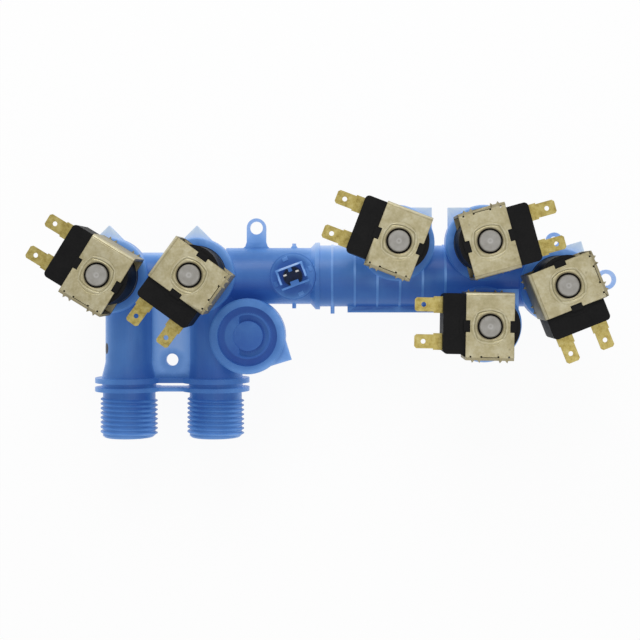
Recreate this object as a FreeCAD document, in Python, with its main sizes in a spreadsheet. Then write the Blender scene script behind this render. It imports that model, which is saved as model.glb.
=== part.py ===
import FreeCAD, Part
import math
import os
import re
import Sketcher

# Water inlet valve of a washing machine, in millimetres.
# X runs along the manifold, the hose inlets face -Y and the solenoids stand up along Z.
# The origin lies on the hose side of the panel flange, midway between the inlets and on their level.

sizes = {
    # Hose inlets and the panel flange
    "inlet_spacing": 41.4,
    "spigot_radius": 12.4,
    "spigot_length": 22.0,
    "spigot_chamfer": 0.9,
    "spigot_bore": 9.6,
    "screen_step": 0.7,
    "screen_depth": 2.6,
    "flange_radius": 16.1,
    "outer_flange_thick": 1.9,
    "flange_gap": 2.1,
    "inner_flange_thick": 2.3,
    "bridge_height": 6.0,
    "web_width": 21.0,
    "web_thick": 3.0,
    "web_hole_height": 14.8,
    "web_hole": 2.95,
    "inlet_flare": 12.8,
    "inlet_flare_top": 7.2,
    "inlet_flare_run": 6.5,
    "inlet_1_tube": 11.2,
    "inlet_2_tube": 12.2,
    "inlet_wall": 2.2,
    "inlet_bore_setback": 14.8,
    "port_radius": 1.9,
    "port_offset": 4.6,
    "port_level": 7.9,
    "port_start": 4.0,
    "port_stop": 4.5,
    # Manifold tubes
    "manifold_height": 54.8,
    "end_tube": 11.2,
    "end_tube_reach": 26.0,
    "left_tube": 13.4,
    "left_tube_end": 66.2,
    "left_bore": 10.4,
    "left_bore_roof": 4.6,
    "collar_radius": 16.0,
    "collar_width": 4.3,
    "collar_slope": 2.3,
    "right_tube": 14.6,
    "right_bore": 11.4,
    "right_bore_roof": 9.4,
    "right_bore_start": 1.0,
    "right_bore_stop": 7.0,
    "rib_height": 0.5,
    "rib_width": 1.1,
    "rib_start": 76.0,
    "rib_pitch": 10.6,
    "rib_count": 6,
    "rail_start": 83.7,
    "rail_end": 129.0,
    "rail_depth": 17.4,
    "rail_thick": 6.0,
    "peg_radius": 0.95,
    "peg_place": 58.2,
    "peg_reach": 15.5,
    "peg_foot": 2.3,
    "peg_foot_sunk": 1.0,
    "peg_foot_height": 1.2,
    "rib_peg_reach": 18.0,
    # Valve cups
    "cup_radius": 17.7,
    "cup_top": 17.0,
    "cup_bottom": 6.5,
    "cup_edge": 0.7,
    "cup_taper": 3.0,
    "rim_bore": 14.0,
    "groove_floor": 13.0,
    "land_radius": 10.75,
    "land_top": 13.6,
    "channel_outer": 10.0,
    "channel_floor": 8.0,
    "throat_top": 4.0,
    "throat_bottom": 6.0,
    "seat_radius": 7.0,
    "seat_bore": 4.2,
    "neck_radius": 12.2,
    "neck_bottom": -14.5,
    "inlet_neck_bottom": -11.4,
    "ear_half_side": 16.5,
    "ear_top": 14.6,
    "ear_bottom": 12.0,
    "outlet_radius": 6.8,
    "outlet_wall": 2.2,
    "outlet_end": -32.0,
    "barb_height": 0.25,
    "barb_length": 4.0,
    "recess_edge": 4.1,
    # The six valves and the blank cup: place along the manifold, rise above its axis, the way the
    # terminals point and the way the ear points
    "valve_1_x": -27.6,
    "valve_1_rise": 0.2,
    "valve_1_turn": 148.5,
    "valve_1_ear": 90.0,
    "valve_2_x": 13.4,
    "valve_2_rise": 0.2,
    "valve_2_turn": 234.0,
    "valve_2_ear": 90.0,
    "valve_3_x": 106.6,
    "valve_3_rise": 15.4,
    "valve_3_turn": 159.0,
    "valve_3_ear": 45.0,
    "valve_4_x": 147.1,
    "valve_4_rise": 15.4,
    "valve_4_turn": 15.4,
    "valve_4_ear": 135.0,
    "valve_5_x": 147.2,
    "valve_5_rise": -22.6,
    "valve_5_turn": 179.0,
    "valve_5_ear": 45.0,
    "valve_6_x": 181.9,
    "valve_6_rise": -4.4,
    "valve_6_turn": -68.3,
    "valve_6_ear": 62.0,
    "blank_x": 37.0,
    "blank_rise": -28.2,
    "blank_step": 0.6,
    "blank_ear": -28.0,
    # Screw lugs
    "top_lug_x": 40.2,
    "top_lug_rise": 22.9,
    "top_lug_radius": 4.6,
    "top_lug_hole": 3.1,
    "lug_thick": 3.0,
    "lug_flare": 2.8,
    "lug_root": 1.0,
    "lug_margin": 0.6,
    "end_lug_reach": 25.4,
    "end_lug_rise": -1.8,
    "end_lug_radius": 4.8,
    "end_lug_hole": 2.9,
    "end_lug_thick": 2.0,
    "side_lug_shift": 0.6,
    "side_lug_rise": 16.8,
    "side_lug_radius": 4.0,
    "side_lug_hole": 2.1,
    # Guide tube, armature, spring and diaphragm
    "bonnet_radius": 13.6,
    "bonnet_bottom": 16.0,
    "bonnet_top": 18.8,
    "guide_radius": 4.85,
    "guide_top": 44.4,
    "guide_edge": 0.5,
    "guide_bore": 4.15,
    "guide_roof": 2.9,
    "armature_radius": 4.0,
    "armature_length": 21.3,
    "armature_edge": 0.5,
    "pocket_radius": 1.9,
    "pocket_depth": 7.0,
    "spring_radius": 1.6,
    "spring_wire": 0.35,
    "spring_turns": 6,
    "spring_steps": 12,
    "membrane_thick": 0.8,
    "bead_width": 2.6,
    "bead_play": 0.15,
    "pilot_radius": 2.5,
    "pilot_height": 0.8,
    # Solenoid yoke
    "yoke_height": 24.7,
    "plate_width": 21.6,
    "plate_length": 30.3,
    "plate_thick": 1.2,
    "bend_radius": 1.8,
    "yoke_hole": 5.65,
    "notch_depth": 1.9,
    "notch_width": 5.3,
    "tongue_width": 8.4,
    "finger_width": 4.0,
    "spike_length": 1.1,
    "spike_width": 1.3,
    "relief": 0.8,
    "fold_gap": 0.25,
    # Coil
    "barrel_radius": 13.7,
    "coil_bore": 5.1,
    "coil_play": 0.1,
    "block_reach": 20.8,
    "block_length": 27.0,
    "block_shift": -0.9,
    "block_drop": 1.0,
    "block_corner": 2.0,
    "block_neck": 12.5,
    "lug_drop": 0.5,
    "coil_lug_root": 1.0,
    # Terminals
    "blade_level": 36.0,
    "blade_spacing": 16.6,
    "blade_width": 6.35,
    "blade_length": 8.5,
    "blade_thick": 0.8,
    "blade_tip": 0.9,
    "blade_hole": 1.1,
    "blade_hole_setback": 4.0,
    "shoulder_width": 7.5,
    "shoulder_length": 4.0,
    "root_depth": 3.0,
    # Temperature sensor
    "sensor_x": 58.3,
    "sensor_rise": -0.2,
    "sensor_turn": 20.5,
    "boss_radius": 11.1,
    "boss_top": 13.6,
    "sensor_radius": 10.4,
    "sensor_flange": 1.3,
    "stem_radius": 3.3,
    "stem_play": 0.3,
    "stem_bottom": -2.0,
    "seal_radius": 5.2,
    "seal_height": 1.3,
    "shroud_length": 13.0,
    "shroud_width": 7.2,
    "shroud_wall": 0.9,
    "shroud_shift": 1.5,
    "shroud_height": 10.0,
    "shroud_floor": 1.2,
    "key_width": 1.6,
    "key_reach": 1.8,
    "latch_gap": 1.7,
    "latch_thick": 0.9,
    "latch_length": 13.4,
    "latch_bump": 3.9,
    "pin_spacing": 5.9,
    "pin_width": 1.5,
    "pin_thick": 0.8,
    "pin_height": 7.5,
    "pin_root": 1.5,
    # Inlet screens
    "screen_play": 0.1,
    "screen_flange": 1.2,
    "basket_mouth": 7.6,
    "basket_end": 5.4,
    "basket_depth": 9.0,
    "basket_wall": 0.7,
}

# Levels, places and reaches that follow from the sizes
derived = {
    "valve_1_y": "manifold_height + valve_1_rise",
    "valve_2_y": "manifold_height + valve_2_rise",
    "valve_3_y": "manifold_height + valve_3_rise",
    "valve_4_y": "manifold_height + valve_4_rise",
    "valve_5_y": "manifold_height + valve_5_rise",
    "valve_6_y": "manifold_height + valve_6_rise",
    "blank_y": "manifold_height + blank_rise",
    "sensor_y": "manifold_height + sensor_rise",
    "top_lug_y": "manifold_height + top_lug_rise",
    "end_lug_x": "valve_6_x + end_lug_reach",
    "end_lug_y": "manifold_height + end_lug_rise",
    "side_lug_x": "valve_6_x + side_lug_shift",
    "side_lug_y": "manifold_height + side_lug_rise",
    "right_tube_end": "valve_6_x",
    "inlet_bore_top": "manifold_height - inlet_bore_setback",
    "half_spacing": "inlet_spacing / 2",
    "inner_flange_bottom": "outer_flange_thick + flange_gap",
    "inner_flange_top": "inner_flange_bottom + inner_flange_thick",
    "screen_seat": "screen_depth - spigot_length",
    "yoke_bottom": "bonnet_top",
    "yoke_top": "bonnet_top + yoke_height",
    "half_width": "plate_width / 2",
    "half_length": "plate_length / 2",
    "half_tongue": "tongue_width / 2",
    "finger_end": "tongue_width / 2 + finger_width",
    "half_notch": "notch_width / 2",
    "membrane_top": "land_top + membrane_thick",
    "pilot_top": "membrane_top + pilot_height",
    "armature_top": "pilot_top + armature_length",
    "spring_bottom": "armature_top - pocket_depth",
    "chamber_top": "guide_top - guide_roof",
    "sensor_seat": "boss_top + sensor_flange",
}

valves = (1, 2, 3, 4, 5, 6)
inlet_fed = (1, 2)
origin_roles = {"level": "XY_Plane", "upright": "XZ_Plane"}
above = 2.0  # how far a cutting shape stands clear of the face it cuts

doc = FreeCAD.newDocument("inlet_valve")
sheet = doc.addObject("Spreadsheet::Sheet", "Sizes")
for row, (alias, value) in enumerate(sizes.items(), start=1):
    sheet.set(f"A{row}", alias)
    sheet.set(f"B{row}", str(value))
    sheet.setAlias(f"B{row}", alias)
doc.recompute()


def tied(text):
    """The expression behind a few words, such as 'cup_top - cup_edge'."""

    def spell(found):
        word = found.group()
        if word in derived:
            return "(" + tied(derived[word]) + ")"
        return "Sizes." + word if word in sizes else word

    return re.sub(r"[A-Za-z_]\w*", spell, str(text))


def number(text):
    """What an expression comes to with the sizes as they are."""
    return float(sheet.evalExpression(tied(text)))


def bind(thing, ties):
    """Tie properties of an object to the sheet."""
    for place, text in ties.items():
        thing.setExpression(place, tied(text))


def stand(thing, at=("0", "0", "0"), turn="0"):
    """Tie an object's place and its turn about Z."""
    bind(thing, dict(zip(("Placement.Base.x", "Placement.Base.y", "Placement.Base.z"), at)))
    if turn != "0":
        bind(thing, {"Placement.Rotation.Angle": turn})
    return thing


def plain_name(name):
    """The object's inner name. Its label is the name as it is given."""
    return "Shape_" + name


def body_named(name):
    body = doc.addObject("PartDesign::Body", plain_name(name))
    body.Label = name
    return body


def sketch_on(body, plane, level="0", name="outline"):
    """A sketch on one of the body's own planes, lifted along the plane's normal."""
    sketch = body.newObject("Sketcher::SketchObject", plain_name(name))
    wanted = origin_roles[plane]
    support = [part for part in body.Origin.OriginFeatures if part.Role == wanted][0]
    sketch.AttachmentSupport = [(support, "")]
    sketch.MapMode = "FlatFace"
    bind(sketch, {"AttachmentOffset.Base.z": level})
    return sketch


def fix_distance(sketch, kind, edge, point, text):
    place = sketch.addConstraint(Sketcher.Constraint(kind, -1, 1, edge, point, number(text)))
    sketch.setExpression(f"Constraints[{place}]", tied(text))


def draw_outline(sketch, points):
    """A closed run of straight edges. Each corner is a pair of sizes or sums of sizes."""
    first = sketch.GeometryCount
    corners = [FreeCAD.Vector(number(x), number(y), 0) for x, y in points]
    count = len(points)
    for step in range(count):
        sketch.addGeometry(Part.LineSegment(corners[step], corners[(step + 1) % count]), False)
    for step in range(count):
        following = first + (step + 1) % count
        sketch.addConstraint(Sketcher.Constraint("Coincident", first + step, 2, following, 1))
        fix_distance(sketch, "DistanceX", first + step, 1, points[step][0])
        fix_distance(sketch, "DistanceY", first + step, 1, points[step][1])


def draw_circle(sketch, radius, at=("0", "0")):
    centre = FreeCAD.Vector(number(at[0]), number(at[1]), 0)
    edge = sketch.addGeometry(Part.Circle(centre, FreeCAD.Vector(0, 0, 1), number(radius)), False)
    place = sketch.addConstraint(Sketcher.Constraint("Radius", edge, number(radius)))
    sketch.setExpression(f"Constraints[{place}]", tied(radius))
    fix_distance(sketch, "DistanceX", edge, 3, at[0])
    fix_distance(sketch, "DistanceY", edge, 3, at[1])


def rectangle(u0, u1, v0, v1):
    return [(u0, v0), (u1, v0), (u1, v1), (u0, v1)]


def mirrored(points):
    """A right-hand run of corners and its mirror image across the middle."""
    return points + [(f"-({u})", v) for u, v in reversed(points)]


def feature(body, kind, sketch, ties, **settings):
    """A feature made from a sketch, checked to have changed the body."""
    before = body.Shape.Volume if body.Tip else 0.0
    made = body.newObject(kind, plain_name("feature"))
    made.Profile = sketch
    for key, value in settings.items():
        setattr(made, key, value)
    bind(made, ties)
    sketch.Visibility = False
    doc.recompute()
    if abs(made.Shape.Volume - before) < 1e-3:
        raise RuntimeError(f"{body.Label}: {kind} changed nothing")
    return made


def pad(body, sketch, length):
    return feature(body, "PartDesign::Pad", sketch, {"Length": length})


def pocket_up(body, sketch, length):
    """A cut that goes along the sketch's normal."""
    return feature(body, "PartDesign::Pocket", sketch, {"Length": length}, Reversed=True)


def turned(body, points):
    """A form of revolution about Z, from corners given as radius and height."""
    sketch = sketch_on(body, "upright", name="section")
    draw_outline(sketch, points)
    settings = {"ReferenceAxis": (sketch, ["V_Axis"]), "Angle": 360.0}
    return feature(body, "PartDesign::Revolution", sketch, {}, **settings)


def turned_about_y(body, points):
    """A form of revolution about Y, from corners given as radius and place along Y."""
    sketch = sketch_on(body, "level", name="section")
    draw_outline(sketch, points)
    settings = {"ReferenceAxis": (sketch, ["V_Axis"]), "Angle": 360.0}
    return feature(body, "PartDesign::Revolution", sketch, {}, **settings)


def rod(name, radius, length, at, along="z"):
    """A cylinder from a place along X, Y or Z."""
    made = doc.addObject("Part::Cylinder", plain_name(name))
    made.Label = name
    turns = {
        "x": FreeCAD.Rotation(FreeCAD.Vector(0, 1, 0), 90),
        "y": FreeCAD.Rotation(FreeCAD.Vector(1, 0, 0), -90),
        "z": FreeCAD.Rotation(),
    }
    made.Placement = FreeCAD.Placement(FreeCAD.Vector(), turns[along])
    bind(made, {"Radius": radius, "Height": length})
    return stand(made, at)


def cone(name, radii, length, at, along):
    """A straight taper from a place along X or Y."""
    made = doc.addObject("Part::Cone", plain_name(name))
    made.Label = name
    turns = {
        "x": FreeCAD.Rotation(FreeCAD.Vector(0, 1, 0), 90),
        "y": FreeCAD.Rotation(FreeCAD.Vector(1, 0, 0), -90),
    }
    made.Placement = FreeCAD.Placement(FreeCAD.Vector(), turns[along])
    bind(made, {"Radius1": radii[0], "Radius2": radii[1], "Height": length})
    return stand(made, at)


def block(name, spans, at=("0", "0", "0"), turn="0"):
    """A box between two values along X, Y and Z, carried to a place and turned there."""
    body = body_named(name)
    sketch = sketch_on(body, "level", spans[4])
    draw_outline(sketch, rectangle(*spans[:4]))
    pad(body, sketch, f"({spans[5]}) - ({spans[4]})")
    return stand(body, at, turn)


def joined(name, pieces):
    made = doc.addObject("Part::MultiFuse", plain_name(name))
    made.Label = name
    made.Shapes = pieces
    return made


def cut(name, base, tool):
    made = doc.addObject("Part::Cut", plain_name(name))
    made.Label = name
    made.Base = base
    made.Tool = tool
    return made


def edges_where(shape, test):
    """Names of the straight edges whose middle passes a test."""
    found = []
    for place, edge in enumerate(shape.Edges, start=1):
        middle = edge.valueAt((edge.FirstParameter + edge.LastParameter) / 2)
        if len(edge.Vertexes) == 2 and test(middle, edge):
            found.append(f"Edge{place}")
    return found


def round_edges(body, radius, test):
    """Round the body's edges that pass a test."""
    before = body.Shape.Volume
    base = body.Tip
    made = body.newObject("PartDesign::Fillet", plain_name("rounding"))
    made.Base = (base, edges_where(base.Shape, test))
    bind(made, {"Radius": radius})
    doc.recompute()
    if abs(made.Shape.Volume - before) < 1e-4:
        raise RuntimeError(f"{body.Label}: a rounding changed nothing")


def near(value, text):
    return abs(value - number(text)) < 1e-4


# Manifold body: the outer forms

def inlet_form(inlet, side):
    """A hose spigot and the tube above it."""
    body = body_named(f"inlet_form_{inlet}")
    tube = f"inlet_{inlet}_tube"
    turned_about_y(body, [
        ("0", "-spigot_length"),
        ("spigot_radius - spigot_chamfer", "-spigot_length"),
        ("spigot_radius", "spigot_chamfer - spigot_length"),
        ("spigot_radius", "0"),
        ("inlet_flare", "0"),
        ("inlet_flare", "inlet_flare_top"),
        (tube, "inlet_flare_top + inlet_flare_run"),
        (tube, "manifold_height"),
        ("0", "manifold_height"),
    ])
    return stand(body, (f"{side} * half_spacing", "0", "0"))


def flange_forms():
    """Two long plates with round ends about the inlets, and the web between the tubes."""
    forms = []
    levels = (("outer_flange", "0", "outer_flange_thick"),
              ("inner_flange", "inner_flange_bottom", "inner_flange_thick"))
    for name, bottom, thick in levels:
        top = f"({bottom}) + ({thick})"
        for side in (-1, 1):
            place = (f"{side} * half_spacing", bottom, "0")
            forms.append(rod(f"{name}_end_{side + 2}", "flange_radius", thick, place, "y"))
        forms.append(block(f"{name}_middle", ("-half_spacing", "half_spacing", bottom, top,
                                              "-bridge_height", "bridge_height")))
    forms.append(block("web", ("-web_width / 2", "web_width / 2", "inner_flange_bottom",
                               "manifold_height", "-web_thick / 2", "web_thick / 2")))
    return forms


def tube_forms():
    """The manifold tubes with their collar, ribs, bottom rail and pegs."""
    axis = "manifold_height"
    forms = [
        rod("end_tube", "end_tube", "end_tube_reach - valve_1_x", ("valve_1_x", axis, "0"), "x"),
        rod("left_tube", "left_tube", "left_tube_end - end_tube_reach + collar_width / 2",
            ("end_tube_reach", axis, "0"), "x"),
        cone("collar_shoulder", ("left_tube", "collar_radius"), "collar_slope",
             ("left_tube_end", axis, "0"), "x"),
        rod("collar", "collar_radius", "collar_width - collar_slope",
            ("left_tube_end + collar_slope", axis, "0"), "x"),
        rod("right_tube", "right_tube", "right_tube_end - left_tube_end - collar_width / 2",
            ("left_tube_end + collar_width / 2", axis, "0"), "x"),
        rod("tube_peg", "peg_radius", "2 * peg_reach", ("peg_place", f"{axis} - peg_reach", "0"), "y"),
        cone("tube_peg_foot", ("peg_foot", "peg_radius"), "peg_foot_sunk + peg_foot_height",
             ("peg_place", f"{axis} + left_tube - peg_foot_sunk", "0"), "y"),
        rod("rib_peg", "peg_radius", "rib_peg_reach",
            ("rib_start + rib_width / 2", f"{axis} - rib_peg_reach", "0"), "y"),
        block("bottom_rail", ("rail_start", "rail_end", f"{axis} - rail_depth",
                              f"{axis} - right_tube / 2", "-rail_thick / 2", "rail_thick / 2")),
    ]
    for rib in range(int(sizes["rib_count"])):
        place = (f"rib_start + {rib} * rib_pitch", axis, "0")
        forms.append(rod(f"rib_{rib + 1}", "right_tube + rib_height", "rib_width", place, "x"))
    return forms


def cup_section(neck_bottom, outlet):
    """Half section of a cup, its neck and, on four of them, the outlet with two barbs."""
    head = [
        ("neck_radius", neck_bottom),
        ("neck_radius", "cup_bottom - cup_taper"),
        ("cup_radius", "cup_bottom"),
        ("cup_radius", "cup_top - cup_edge"),
        ("cup_radius - cup_edge", "cup_top"),
        ("0", "cup_top"),
    ]
    if not outlet:
        return [("0", neck_bottom)] + head
    barbed = "outlet_radius + barb_height"
    tail = [
        ("0", "outlet_end"),
        ("outlet_radius", "outlet_end"),
        (barbed, "outlet_end + barb_length"),
        ("outlet_radius", "outlet_end + barb_length"),
        (barbed, "outlet_end + 2 * barb_length"),
        ("outlet_radius", "outlet_end + 2 * barb_length"),
        ("outlet_radius", neck_bottom),
    ]
    return tail + head


def cup_form(name, station, ear, neck_bottom, outlet):
    """A cup with one squared ear beside its rim."""
    place = (f"{station}_x", f"{station}_y", "0")
    body = body_named(f"{name}_cup_form")
    turned(body, cup_section(neck_bottom, outlet))
    stand(body, place)
    ear_spans = ("0", "ear_half_side", "0", "ear_half_side", "ear_bottom", "ear_top")
    return [body, block(f"{name}_ear", ear_spans, place, f"{ear} - 45")]


def lug_form(name, outline_points, thick, centre, radius):
    """A flat lug: a plate with a round end."""
    body = body_named(f"{name}_plate")
    sketch = sketch_on(body, "level", f"-{thick} / 2")
    draw_outline(sketch, outline_points)
    pad(body, sketch, thick)
    return [body, rod(f"{name}_end", radius, thick, (*centre, f"-{thick} / 2"))]


def lug_forms():
    foot = "manifold_height + left_tube - lug_root"
    neck = "manifold_height + left_tube + lug_flare"
    left, right = "top_lug_x - top_lug_radius", "top_lug_x + top_lug_radius"
    forms = lug_form("top_lug", [
        (f"{left} - lug_flare", foot),
        (f"{right} + lug_flare", foot),
        (f"{right} + lug_flare / 4", f"{neck} - 3 * lug_flare / 4"),
        (right, neck),
        (right, "top_lug_y"),
        (left, "top_lug_y"),
        (left, neck),
        (f"{left} - lug_flare / 4", f"{neck} - 3 * lug_flare / 4"),
    ], "lug_thick", ("top_lug_x", "top_lug_y"), "top_lug_radius")
    forms += lug_form("end_lug", rectangle(
        "valve_6_x", "end_lug_x - end_lug_hole - lug_margin",
        "end_lug_y - end_lug_radius / 2", "end_lug_y + end_lug_radius / 2"),
        "end_lug_thick", ("end_lug_x", "end_lug_y"), "end_lug_radius")
    forms += lug_form("side_lug", rectangle(
        "side_lug_x - side_lug_radius / 2", "side_lug_x + side_lug_radius / 2",
        "valve_6_y", "side_lug_y - side_lug_hole - lug_margin"),
        "end_lug_thick", ("side_lug_x", "side_lug_y"), "side_lug_radius")
    return forms


# Manifold body: the hollows

def inlet_hollow(inlet, side):
    """The spigot's bore with a step for the screen, and the tube's bore above it."""
    body = body_named(f"inlet_hollow_{inlet}")
    tube_bore = f"inlet_{inlet}_tube - inlet_wall"
    turned_about_y(body, [
        ("0", f"-spigot_length - {above}"),
        ("spigot_bore", f"-spigot_length - {above}"),
        ("spigot_bore", "screen_seat"),
        ("spigot_bore - screen_step", "screen_seat"),
        ("spigot_bore - screen_step", "0"),
        (tube_bore, "inner_flange_top"),
        (tube_bore, "inlet_bore_top"),
        ("0", "inlet_bore_top"),
    ])
    return stand(body, (f"{side} * half_spacing", "0", "0"))


def feed_port(valve):
    """The short way from an inlet's bore up into the ring channel of its valve cup."""
    start = "inlet_bore_top - port_start"
    place = (f"valve_{valve}_x + port_offset", start, "port_level")
    return rod(f"feed_port_{valve}", "port_radius", f"valve_{valve}_y - port_stop - ({start})", place, "y")


def cup_hollow(valve):
    """The bead groove, ring channel and seat bore of a valve cup, as one cutting shape."""
    station = f"valve_{valve}"
    bottom = "0" if valve in inlet_fed else f"outlet_end - {above}"
    lower_bore = "seat_bore" if valve in inlet_fed else "outlet_radius - outlet_wall"
    body = body_named(f"{station}_hollow")
    turned(body, [
        ("0", bottom),
        (lower_bore, bottom),
        (lower_bore, "channel_floor - throat_bottom"),
        ("seat_bore", "channel_floor - throat_top"),
        ("seat_bore", "land_top"),
        ("seat_radius", "land_top"),
        ("seat_radius", "channel_floor"),
        ("channel_outer", "channel_floor"),
        ("channel_outer", "land_top"),
        ("land_radius", "land_top"),
        ("land_radius", "groove_floor"),
        ("rim_bore", "groove_floor"),
        ("rim_bore", f"cup_top + {above}"),
        ("0", f"cup_top + {above}"),
    ])
    return stand(body, (f"{station}_x", f"{station}_y", "0"))


def blank_hollows():
    """The blank cup: a lowered ring round a flat land, and a C-shaped channel open to nothing."""
    place = ("blank_x", "blank_y", "0")
    mouth = body_named("blank_mouth")
    turned(mouth, [
        ("0", "land_top - blank_step"),
        ("seat_radius", "land_top - blank_step"),
        ("seat_radius", "land_top"),
        ("land_radius", "land_top"),
        ("land_radius", "groove_floor"),
        ("rim_bore", "groove_floor"),
        ("rim_bore", f"cup_top + {above}"),
        ("0", f"cup_top + {above}"),
    ])
    ring = body_named("blank_ring")
    turned(ring, [
        ("seat_radius", "channel_floor"),
        ("channel_outer", "channel_floor"),
        ("channel_outer", f"land_top + {above}"),
        ("seat_radius", f"land_top + {above}"),
    ])
    stand(ring, place)
    left_out = block("blank_ring_gap", ("-cup_radius", "-recess_edge", "-cup_radius", "cup_radius",
                                        "0", f"cup_top + {above}"), place)
    return [stand(mouth, place), cut("blank_channel", ring, left_out)]


def left_bore():
    """The left tube's bore, flat above so that a wall stays under the cups."""
    whole = rod("left_bore_round", "left_bore", "left_tube_end - valve_1_x + collar_width",
                ("valve_1_x", "manifold_height", "0"), "x")
    roof = block("left_bore_limit", ("valve_1_x - left_tube", "left_tube_end + left_tube",
                                     "manifold_height - left_tube", "manifold_height + left_tube",
                                     "left_bore_roof", "left_tube"))
    return cut("left_bore_shape", whole, roof)


def right_bore():
    """The right tube's bore, flat above, with the outlets' walls left standing in it."""
    start, end = "left_tube_end + right_bore_start", "right_tube_end - right_bore_stop"
    whole = rod("right_bore_round", "right_bore", f"{end} - ({start})",
                (start, "manifold_height", "0"), "x")
    kept = [block("right_bore_limit", ("left_tube_end - right_tube", "right_tube_end + right_tube",
                                       "manifold_height - right_tube", "manifold_height + right_tube",
                                       "right_bore_roof", "right_tube"))]
    for valve in valves:
        if valve in inlet_fed:
            continue
        place = (f"valve_{valve}_x", f"valve_{valve}_y", "outlet_end")
        kept.append(rod(f"outlet_wall_{valve}", "seat_radius", "cup_top - outlet_end", place))
    return cut("right_bore_shape", whole, joined("right_bore_kept", kept))


def screw_holes():
    below = "-lug_thick"
    through = "2 * lug_thick"
    places = {
        "web_hole": ("0", "web_hole_height"),
        "top_lug_hole": ("top_lug_x", "top_lug_y"),
        "end_lug_hole": ("end_lug_x", "end_lug_y"),
        "side_lug_hole": ("side_lug_x", "side_lug_y"),
    }
    return [rod(f"{size}_cut", size, through, (*place, below)) for size, place in places.items()]


def sensor_hollow():
    """The stem's way into the left bore, a seat for the sealing ring, and room for the flange."""
    body = body_named("sensor_hollow")
    turned(body, [
        ("0", "0"),
        ("stem_radius + stem_play", "0"),
        ("stem_radius + stem_play", "boss_top - seal_height"),
        ("seal_radius", "boss_top - seal_height"),
        ("seal_radius", "boss_top"),
        ("sensor_radius + stem_play", "boss_top"),
        ("sensor_radius + stem_play", f"collar_radius + {above}"),
        ("0", f"collar_radius + {above}"),
    ])
    return stand(body, ("sensor_x", "sensor_y", "0"))


def manifold_body():
    forms = [inlet_form(1, -1), inlet_form(2, 1)]
    forms += flange_forms()
    forms += tube_forms()
    forms += lug_forms()
    for valve in valves:
        fed = valve in inlet_fed
        station = f"valve_{valve}"
        neck = "inlet_neck_bottom" if fed else "neck_bottom"
        forms += cup_form(station, station, f"{station}_ear", neck, not fed)
    forms += cup_form("blank", "blank", "blank_ear", "neck_bottom", False)
    forms.append(rod("sensor_boss", "boss_radius", "boss_top", ("sensor_x", "sensor_y", "0")))
    hollows = [inlet_hollow(1, -1), inlet_hollow(2, 1), left_bore(), right_bore(), sensor_hollow()]
    hollows += [feed_port(valve) for valve in inlet_fed]
    hollows += [cup_hollow(valve) for valve in valves]
    hollows += blank_hollows() + screw_holes()
    return cut("manifold_body", joined("manifold_forms", forms), joined("manifold_hollows", hollows))


# Pieces of one solenoid valve, each in the valve's own frame with the terminals along X

def at_valve(thing, valve):
    """Carry a piece to its cup and turn its terminals the way they point."""
    return stand(thing, (f"valve_{valve}_x", f"valve_{valve}_y", "0"), f"valve_{valve}_turn")


def yoke_half(name):
    """An L of folded sheet: the plate with its notches and staked fingers, and the plain wall."""
    body = body_named(name)
    plate = sketch_on(body, "level", "yoke_top - plate_thick", "plate")
    wide, notched = "half_width", "half_width - notch_depth"
    end, step = "half_length", "half_length - plate_thick"
    relieved = f"{step} - relief"
    draw_outline(plate, mirrored([
        (wide, "-half_length"),
        (wide, "-half_notch"),
        (notched, "-half_notch"),
        (notched, "half_notch"),
        (wide, "half_notch"),
        (wide, step),
        ("finger_end + relief", step),
        ("finger_end + relief", relieved),
        ("finger_end", relieved),
        ("finger_end", end),
        ("finger_end - spike_width / 4", f"{end} + spike_length"),
        ("finger_end - spike_width", end),
        ("half_tongue + spike_width", end),
        ("half_tongue + spike_width / 4", f"{end} + spike_length"),
        ("half_tongue", end),
        ("half_tongue", relieved),
        ("half_tongue - relief", relieved),
        ("half_tongue - relief", f"{step} - fold_gap"),
    ]))
    pad(body, plate, "plate_thick")
    wall = sketch_on(body, "upright", "half_length - plate_thick", "wall")
    gap = "yoke_bottom + plate_thick"
    draw_outline(wall, mirrored([
        (wide, "yoke_top"),
        (wide, "yoke_bottom"),
        ("finger_end", "yoke_bottom"),
        ("finger_end", gap),
        ("half_tongue", gap),
        ("half_tongue", "yoke_bottom"),
    ]))
    pad(body, wall, "plate_thick")
    fold = lambda middle, edge: near(middle.y, "-half_length") and near(middle.z, "yoke_top")
    round_edges(body, "bend_radius", fold)
    hole = sketch_on(body, "level", f"yoke_top - plate_thick - {above}", "hole")
    draw_circle(hole, "yoke_hole")
    pocket_up(body, hole, f"plate_thick + 2 * {above}")
    return body


def yoke(valve):
    """Two like halves, the lower one turned over, so that each one's fingers take the other's wall."""
    upper = yoke_half(f"yoke_{valve}_upper")
    lower = yoke_half(f"yoke_{valve}_lower")
    lower.Placement = FreeCAD.Placement(FreeCAD.Vector(), FreeCAD.Rotation(FreeCAD.Vector(1, 0, 0), 180))
    bind(lower, {"Placement.Base.z": "yoke_top + yoke_bottom"})
    pair = doc.addObject("Part::Compound", plain_name(f"yoke_{valve}"))
    pair.Label = f"yoke_{valve}"
    pair.Links = [upper, lower]
    return at_valve(pair, valve)


def blade_places():
    """The middles of the two blades, across the coil's block."""
    return [f"block_shift + {side} * blade_spacing / 2" for side in (-1, 1)]


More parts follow.
